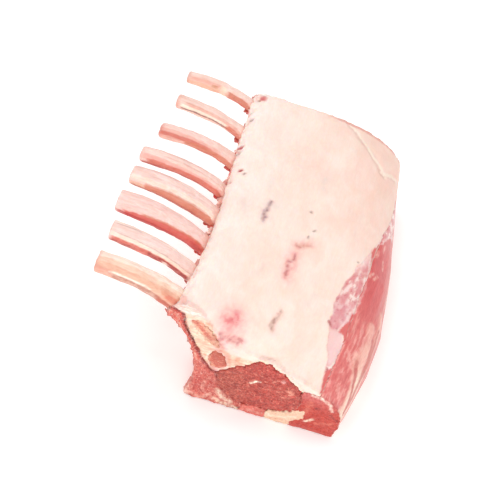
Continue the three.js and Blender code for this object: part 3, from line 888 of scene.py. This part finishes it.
smallMuscles = [
    {
        "node": "cap_muscle", "name": "capMuscle", "slot": "cap_meat", "base": (236, 170, 144),
        "face": 0.5 * mm, "soften": 6, "grow": 0.4 * mm, "torn": 2.4 * mm, "seed": 5,
        "marks": [
            ((210, 104, 86), 1.9, 0.85, 0.15, [(0.05, 0.95), (0.3, 0.65), (0.5, 0.35)]),
            ((248, 212, 186), 2.6, 0.9, 0.2, [(0.0, 0.7), (0.35, 0.2)]),
        ],
        "material": {**rawMeat, "sawnStretch": (1.3, 2, 1), "sawnTones": ((0.88, 0.7, 0.68), (1.1, 1.3, 1.3)), "fleck": (246, 190, 166)},
    },
    {
        "node": "wedge_muscle", "name": "wedgeMuscle", "slot": "cap_meat", "base": (208, 104, 84),
        "face": 0.5 * mm, "soften": 6, "grow": 0.4 * mm, "torn": 2.4 * mm, "seed": 6,
        "marks": [
            ((204, 96, 78), 4.5, 0.6, 0.2, [(0.3, 0.4)]),
            ((236, 168, 140), 1.3, 0.7, 0.4, [(0.0, 0.6), (0.0, 0.25), (0.25, 0.05)]),
            ((182, 92, 74), 0.9, 0.6, 0.3, [(0.2, 0.75), (0.5, 0.7), (0.6, 0.35)]),
        ],
        "material": {**rawMeat, "sawnStretch": (2, 2, 1), "sawnTones": ((0.92, 0.78, 0.76), (1.07, 1.2, 1.2)), "fleck": (250, 206, 184)},
    },
    {
        "node": "chine_muscle", "name": "chineMuscle", "slot": "back_meat", "base": (222, 110, 98),
        "face": 0.5 * mm, "soften": 6, "grow": 0.4 * mm, "torn": 2.4 * mm, "seed": 7,
        "marks": [((240, 160, 144), 1.5, 0.6, 0.3, [(0.4, 0.4), (0.8, 0.3)])],
        "material": {**rawMeat, "sawnTones": ((0.88, 0.7, 0.68), (1.1, 1.3, 1.3)), "fleck": (250, 200, 184)},
    },
    {
        "node": "chine_seam", "name": "chineSeam", "slot": "seam_fat", "base": (244, 204, 176),
        "face": 0.5 * mm, "soften": 6, "grow": 0.4 * mm, "torn": 2.4 * mm, "seed": 8,
        "marks": [
            ((252, 228, 206), 1.6, 0.8, 0.2, [(0.1, 0.25), (0.4, 0.3), (0.8, 0.5)]),
            ((232, 170, 142), 1.1, 0.6, 0.3, [(0.2, 0.1), (0.5, 0.2)]),
        ],
        "material": {**rawMeat, "sawnTones": ((0.95, 0.86, 0.82), (1.03, 1.1, 1.12)), "patchTones": ((0.98, 0.95, 0.94), (1.01, 1.04, 1.05)), "rough": 0.42},
    },
]


def makeSmallMuscle(s):
    piece = pieceFrom(s["node"], s["name"], s)
    roughenCut(piece, 0.35 * mm, 3 * mm, 0.5 * mm, s["seed"])
    tint = Tint(piece, s["base"])
    tint.marks(sawnFace(s["node"]), s["marks"], tint.cut)
    tint.keep(piece)
    paint(piece, "sawn", tint.cut)
    handOver(piece, s["slot"], fleshMaterial(s["name"] + "Look", s["material"]), s["node"])


for settings in smallMuscles:
    makeSmallMuscle(settings)


# the ribs: scraped bone, each with its own bands along the near side, partly the bone's own colour and partly painted
# light and shade

ribSettings = {
    "face": 0.55 * mm, "soften": 16, "grow": 0.4 * mm, "keepCut": 0.0,
    "bareFrom": rootX,  # the bone is bare from here out
    "lean": math.radians(50),  # how far the rims lie from the sides towards top and bottom
    "bandEdge": 0.05,
    "material": {
        "grain": 1.7 * mm, "stretch": (7, 1, 1), "patch": 6 * mm, "patchStretch": (2, 1, 1),
        "sawnGrain": 1.2 * mm, "relief": 0.0003,
        "patchTones": ((0.97, 0.93, 0.92), (1.02, 1.05, 1.06)), "tones": ((0.97, 0.92, 0.9), (1.02, 1.06, 1.07)),
        "fineTones": ((0.98, 0.96, 0.95), (1.02, 1.03, 1.04)),
        "sawnTones": ((0.9, 0.8, 0.8), (1.05, 1.1, 1.1)),
        "rough": 0.38, "bump": 0.0002, "glow": 0.1, "shine": 0.35, "wet": 0.1,
    },
}

# bands: colour, where they begin and end across the bone (0 is the upper rim and 1 the lower one)
# as (at the tip, at the root), how far along the bone they run, strength, and how broken they are
# the pale bands high on each bone are painted highlight; the darker bands are partly red meat left on the bone and
# partly painted shade at the rims
ribs = [
    {
        "base": (246, 208, 186), "tip": (228, 168, 152), "round": 1.2,
        "bands": [
            ((255, 238, 226), (-0.1, -0.1), (0.22, 0.2), (0, 1), 0.7, 0.1),
            ((232, 174, 148), (0.4, 0.45), (0.75, 0.8), (0, 1), 0.7, 0.2),
            ((226, 166, 148), (0.62, 0.8), (1.1, 1.1), (-0.1, 0.24), 0.85, 0.1),
            ((192, 134, 118), (0.78, 0.78), (1.1, 1.1), (0.2, 0.76), 0.95, 0.3),
            ((255, 238, 224), (0.69, 0.69), (0.78, 0.78), (0.2, 0.62), 0.9, 0.3),
            ((228, 164, 138), (0.4, 0.35), (1.1, 1.1), (0.74, 1.2), 0.8, 0.3),
            ((226, 130, 110), (0.6, 0.5), (0.8, 0.72), (0.8, 1.2), 0.8, 0.3),
            ((186, 92, 76), (0.84, 0.84), (1.1, 1.1), (0.7, 1.2), 0.9, 0.2),
        ],
    },
    {
        "base": (245, 213, 205), "tip": (246, 208, 196), "round": 1.2,
        "bands": [
            ((250, 228, 214), (-0.1, -0.1), (0.08, 0.06), (0, 1), 0.7, 0.1),
            ((190, 152, 140), (0.09, 0.02), (0.13, 0.05), (0.06, 0.34), 0.7, 0.25),
            ((188, 148, 138), (0.5, 0.56), (0.54, 0.6), (0.08, 1), 0.8, 0.1),
            ((253, 230, 214), (0.54, 0.6), (0.76, 0.76), (0, 1), 0.95, 0.05),
            ((214, 112, 98), (0.74, 0.76), (1.1, 1.1), (0.02, 0.94), 0.95, 0.12),
            ((160, 74, 68), (0.9, 0.86), (1.1, 1.1), (0.02, 0.3), 0.6, 0.3),
            ((168, 70, 66), (0.8, 0.78), (0.92, 1.1), (0.46, 0.96), 0.9, 0.35),
            ((254, 226, 214), (0.86, 0.86), (1.1, 1.1), (0.64, 0.7), 0.95, 0.0),
        ],
    },
    {
        "base": (244, 205, 197), "tip": (245, 214, 206), "round": 1.0,
        "bands": [
            ((247, 218, 208), (0.3, 0.2), (0.5, 0.4), (0.1, 0.8), 0.5, 0.3),
            ((210, 90, 80), (0.84, 0.54), (1.1, 1.1), (0.1, 1.1), 0.95, 0.0),
            ((212, 122, 96), (0.76, 0.5), (0.84, 0.6), (0.3, 1.1), 0.8, 0.15),
            ((186, 66, 66), (0.88, 0.92), (1.1, 1.1), (-0.1, 1.1), 0.85, 0.05),
            ((176, 62, 62), (0.8, 0.72), (1.0, 0.92), (0.86, 1.1), 0.6, 0.3),
        ],
    },
    {
        "base": (246, 213, 205), "tip": (246, 208, 194), "round": 1.4,
        "bands": [
            ((226, 178, 168), (-0.1, -0.1), (0.06, 0.05), (0, 0.5), 0.7, 0.2),
            ((252, 230, 214), (0.46, 0.34), (0.74, 0.6), (0, 1), 0.7, 0.1),
            ((226, 184, 172), (0.28, 0.2), (0.33, 0.24), (0.2, 1), 0.6, 0.3),
            ((238, 190, 164), (0.82, 0.86), (1.1, 1.1), (-0.1, 0.3), 0.9, 0.1),
            ((214, 132, 108), (0.78, 0.6), (1.1, 1.1), (0.2, 1.1), 0.95, 0.0),
            ((206, 122, 100), (0.72, 0.54), (0.78, 0.6), (0.2, 0.9), 0.6, 0.2),
            ((186, 100, 88), (0.94, 0.93), (1.1, 1.1), (0, 1.1), 0.8, 0.1),
        ],
    },
    {
        "base": (246, 212, 202), "tip": (240, 186, 176), "round": 3.0,
        "bands": [
            ((224, 172, 162), (-0.1, -0.1), (0.05, 0.04), (0, 0.9), 0.7, 0.1),
            ((224, 168, 154), (0.2, 0.3), (0.25, 0.34), (0.3, 1), 0.7, 0.2),
            ((236, 170, 158), (0.42, 0.5), (0.78, 0.78), (0, 1), 0.8, 0.2),
            ((218, 118, 100), (0.7, 0.64), (1.1, 1.1), (0.1, 1.1), 0.9, 0.05),
            ((252, 222, 206), (0.36, 0.52), (0.44, 0.58), (0.34, 0.8), 0.6, 0.3),
            ((190, 92, 82), (0.93, 0.92), (1.1, 1.1), (0.02, 1.1), 0.85, 0.1),
        ],
    },
    {
        "base": (242, 202, 192), "tip": (212, 122, 108), "round": 3.0,
        "bands": [
            ((246, 208, 198), (-0.1, -0.1), (0.3, 0.36), (0.1, 1), 0.8, 0.1),
            ((234, 172, 158), (0.3, 0.5), (0.9, 0.9), (0, 0.8), 0.8, 0.1),
            ((210, 112, 98), (0.52, 0.6), (0.76, 0.86), (0, 0.7), 0.85, 0.1),
            ((214, 134, 110), (0.78, 0.6), (1.1, 1.1), (0.34, 1.1), 0.9, 0.05),
            ((243, 196, 182), (0.84, 0.9), (1.1, 1.1), (-0.1, 0.34), 0.9, 0.15),
            ((200, 100, 84), (0.92, 0.92), (1.1, 1.1), (0.5, 1.1), 0.6, 0.2),
        ],
    },
    {
        "base": (241, 201, 188), "tip": (228, 166, 152), "round": 1.4,
        "bands": [
            ((247, 216, 206), (-0.1, -0.1), (0.3, 0.4), (0.1, 1), 0.85, 0.1),
            ((196, 132, 108), (0.36, 0.56), (0.42, 0.6), (0.12, 0.55), 0.8, 0.2),
            ((232, 170, 154), (0.42, 0.4), (0.68, 0.64), (0.16, 1), 0.6, 0.2),
            ((254, 236, 218), (0.6, 0.66), (0.8, 0.76), (0.08, 0.8), 0.95, 0.1),
            ((136, 90, 84), (0.82, 0.77), (0.92, 0.84), (0.1, 0.84), 0.9, 0.15),
            ((246, 214, 200), (0.93, 0.9), (1.1, 1.1), (0.16, 0.8), 0.8, 0.1),
            ((216, 122, 100), (0.6, 0.6), (1.1, 1.1), (0.76, 1.1), 0.85, 0.2),
            ((176, 84, 72), (0.9, 0.9), (1.1, 1.1), (0.78, 1.1), 0.7, 0.3),
        ],
    },
    {
        "base": (242, 202, 189), "tip": (212, 150, 140), "round": 1.0,
        "bands": [
            ((247, 214, 202), (-0.1, -0.1), (0.3, 0.34), (0.02, 1), 0.85, 0.1),
            ((238, 176, 160), (0.38, 0.34), (0.62, 0.7), (0.08, 0.52), 0.8, 0.15),
            ((236, 184, 156), (0.7, 0.66), (1.1, 1.1), (0, 0.5), 0.8, 0.15),
            ((206, 142, 112), (0.46, 0.6), (0.56, 1.0), (0.36, 0.46), 0.8, 0.1),
            ((252, 220, 198), (0.4, 0.3), (1.1, 1.1), (0.5, 0.6), 0.9, 0.1),
            ((247, 214, 204), (-0.1, -0.1), (0.5, 0.5), (0.56, 1.1), 0.85, 0.0),
            ((212, 134, 112), (0.5, 0.56), (1.1, 1.1), (0.62, 1.1), 0.95, 0.05),
            ((206, 112, 98), (0.9, 0.86), (1.1, 1.1), (0.72, 1.1), 0.8, 0.15),
            ((170, 60, 56), (0.6, 0.6), (1.1, 1.1), (0.97, 1.1), 0.9, 0.2),
        ],
    },
]


def crossings(points, step=2.0 * mm):
    # the middle and the half sizes of the bone's section at each vertex
    low = points[:, 0].min()
    places = np.arange(low + step / 2, points[:, 0].max(), step)
    rows = []
    for x in places:
        ring = points[np.abs(points[:, 0] - x) < step * 0.75]
        low, high = ring.min(0), ring.max(0)
        rows.append([*((low + high) / 2)[1:], *((high - low) / 2)[1:]])
    rows = np.array(rows)
    return [np.interp(points[:, 0], places, rows[:, i]) for i in range(4)]


def makeRib(number, own, s):
    piece = pieceFrom(f"rib_{number}", f"rib{number}", s)
    points, normals = coords(piece), facing(piece)
    low = points[:, 0].min()
    midY, midZ, halfY, halfZ = crossings(points)
    bare = fade(points[:, 0], s["bareFrom"] - 2 * mm, s["bareFrom"] + 4 * mm)
    # the tip is rounded off, and the bone has low ridges and scrape marks
    depth = np.clip((points[:, 0] - low) / (own["round"] * mm), 0, 1)
    narrow = 0.72 + 0.28 * np.sqrt(1 - (1 - depth) ** 2)
    points[:, 1] = midY + (points[:, 1] - midY) * narrow
    points[:, 2] = midZ + (points[:, 2] - midZ) * narrow
    setCoords(piece, points)
    ridge = ripple(points, 6 * mm, number * 3.1, 3, (3, 1, 1)) * 0.45 * mm
    pits = ripple(points, 2.2 * mm, number * 5.3, 2, (2, 1, 1)) * 0.14 * mm
    push(piece, (ridge + pits) * bare)
    # how far across the seen side, from the upper rim to the lower one
    tint = Tint(piece, own["base"], 0.35 * mm)
    points = tint.points
    down = np.array([0, -math.sin(s["lean"]), -math.cos(s["lean"])])
    rim = np.hypot(down[1] * halfY, down[2] * halfZ)
    off = (points[:, 1] - midY) * down[1] + (points[:, 2] - midZ) * down[2]
    hidden = fade(tint.normals @ [0, down[2], -down[1]], -0.25, -0.05)  # the side turned away
    across = (1 + off / rim) / 2
    across = across + hidden * (rise(off, -0.2 * rim.mean(), 0.2 * rim.mean()) - across)
    across = across + 0.035 * ripple(points, 3 * mm, number * 1.9, 3, (2.5, 1, 1))
    share = (points[:, 0] - low) / (s["bareFrom"] - low)
    wavyShare = share + 0.03 * ripple(points, 3 * mm, number * 2.7, 3)
    torn = rise(ripple(points, 2.4 * mm, number * 4.3, 3, (1.6, 1, 1)), 0.0, 0.18)
    soft = s["bandEdge"]
    for color, begin, end, (start, stop), strength, broken in own["bands"]:
        top = begin[0] + (begin[1] - begin[0]) * share
        bottom = end[0] + (end[1] - end[0]) * share
        band = rise(across, top - soft / 2, top + soft / 2) * fade(across, bottom - soft / 2, bottom + soft / 2)
        span = rise(wavyShare, start - 0.03, start + 0.03) * fade(wavyShare, stop - 0.03, stop + 0.03)
        tint.over(color, band * span * strength * (1 - broken * torn))
    tint.over(own["tip"], fade(points[:, 0], low + 0.5 * mm, low + 3.5 * mm) * 0.6)
    end = fade(points[:, 0], low + 0.3 * mm, low + 1.2 * mm) * fade(normals[:, 0], -0.8, -0.5)
    core = np.hypot((points[:, 1] - midY) / halfY, (points[:, 2] - midZ) / halfZ)
    tint.over((196, 116, 98), end * fade(core, 0.35, 0.62))
    # where it goes into the meat it is fleshy and red
    tint.over((236, 176, 162), rise(points[:, 0], s["bareFrom"] - 3 * mm, s["bareFrom"] + 3 * mm) * (0.3 + 0.6 * torn))
    tint.keep(piece)
    paint(piece, "sawn", end)
    handOver(piece, "bone", boneLook, f"rib_{number}")


boneLook = fleshMaterial("scrapedBone", ribSettings["material"])
for number, own in enumerate(ribs, 1):
    makeRib(number, own, ribSettings)


# torn scraps of meat and skin that hang where the bones come out

scrapSettings = {
    "material": {**rawMeat, "relief": 0.0004, "bump": 0.0003, "wet": 0.3},
    "squash": 0.75, "stray": 0.45,
    "boneRise": 0.35,  # how steeply the bones climb towards their tips
    "red": [(206, 62, 58), (204, 88, 82), (208, 84, 72), (198, 84, 70)],
    "pale": [(240, 184, 172), (238, 168, 156), (243, 196, 186)],
    "dark": (150, 44, 46),
    # the fibres that fan from the first bone down the near end, one colour each
    "fan": [(214, 96, 80), (236, 150, 128), (246, 200, 178), (186, 46, 46), (244, 192, 178)],
}


def scrapClusters(s):
    # each cluster: the line it lies along, how many, how thick in mm, and its colour
    clusters = []
    for i, (middle, half) in enumerate(roots):
        # red meat hangs under the near lower corner of each root, and pale skin fills the corner after it
        low = middle - Vector((0, half.y * 0.8, half.z * 0.3))
        red, pale = s["red"][i % len(s["red"])], s["pale"][i % len(s["pale"])]
        clusters.append(([low + Vector((-4, 0, 1)) * mm, low + Vector((2, 0, 0)) * mm], 8, 1.5, red))
        clusters.append(([low + Vector((-1, 0, -1)) * mm, low + Vector((2, 0, -1)) * mm], 3, 1.0, s["dark"]))
        far = middle + Vector((-1 * mm, half.y, half.z * 0.2))
        clusters.append(([far, far + Vector((1.5 * mm, ribPitch * 0.3, 0))], 9, 1.5, pale))
    middle, half = roots[0]
    for i, color in enumerate(s["fan"]):
        # the fibres start further in and end higher, one after the other
        out = (10 - i * 2) * mm
        start = middle + Vector((-out, -half.y * 0.85, half.z * (i * 0.3 - 0.4) + out * s["boneRise"]))
        end = Vector((rootX + (3 - i * 0.5) * mm, cuts["near"] + 1.5 * mm, middle.z - (10 - i * 2) * mm))
        clusters.append(([start, end], 14, 0.75, color))
    return clusters


def makeScraps(s):
    bm = bmesh.new()
    tone = bm.verts.layers.float_color.new("tint")
    dice = np.random.default_rng(7)
    for line, count, thick, color in scrapClusters(s):
        corners = [Vector(corner) for corner in line]
        for i in range(count):
            reach = (i + 0.5) / count * (len(corners) - 1)
            k = min(int(reach), len(corners) - 2)
            spot = corners[k].lerp(corners[k + 1], reach - k) + Vector(dice.normal(0, thick * 0.28 * mm, 3))
            size = thick * mm * dice.uniform(0.6, 1.0)
            run = (corners[k + 1] - corners[k]).normalized() + Vector(dice.normal(0, s["stray"], 3))
            turn = run.to_track_quat("X", "Z").to_matrix().to_4x4()
            shape = Matrix.Diagonal((size * dice.uniform(1.1, 2.2), size, size * s["squash"], 1))
            placed = Matrix.Translation(spot) @ turn @ shape
            made = bmesh.ops.create_icosphere(bm, subdivisions=3, radius=1.0, matrix=placed)
            shade = np.array(toLinear(color)) * dice.uniform(0.85, 1.12)
            for vert in made["verts"]:
                vert.co += (vert.co - spot) * 0.35 * noise.fractal(vert.co / (1.6 * mm), 1.0, 2.0, 3)
                vert[tone] = (*shade, 1)
    mesh = bpy.data.meshes.new("meatScraps")
    bm.to_mesh(mesh)
    bm.free()
    mesh.shade_smooth()
    piece = bpy.data.objects.new("meatScraps", mesh)
    scene.collection.objects.link(piece)
    paint(piece, "sawn", np.full(len(mesh.vertices), 0.4))
    handOver(piece, "rib_side_meat", fleshMaterial("scraps", s["material"]), "rib_meat")


makeScraps(scrapSettings)


print("all pieces are in")
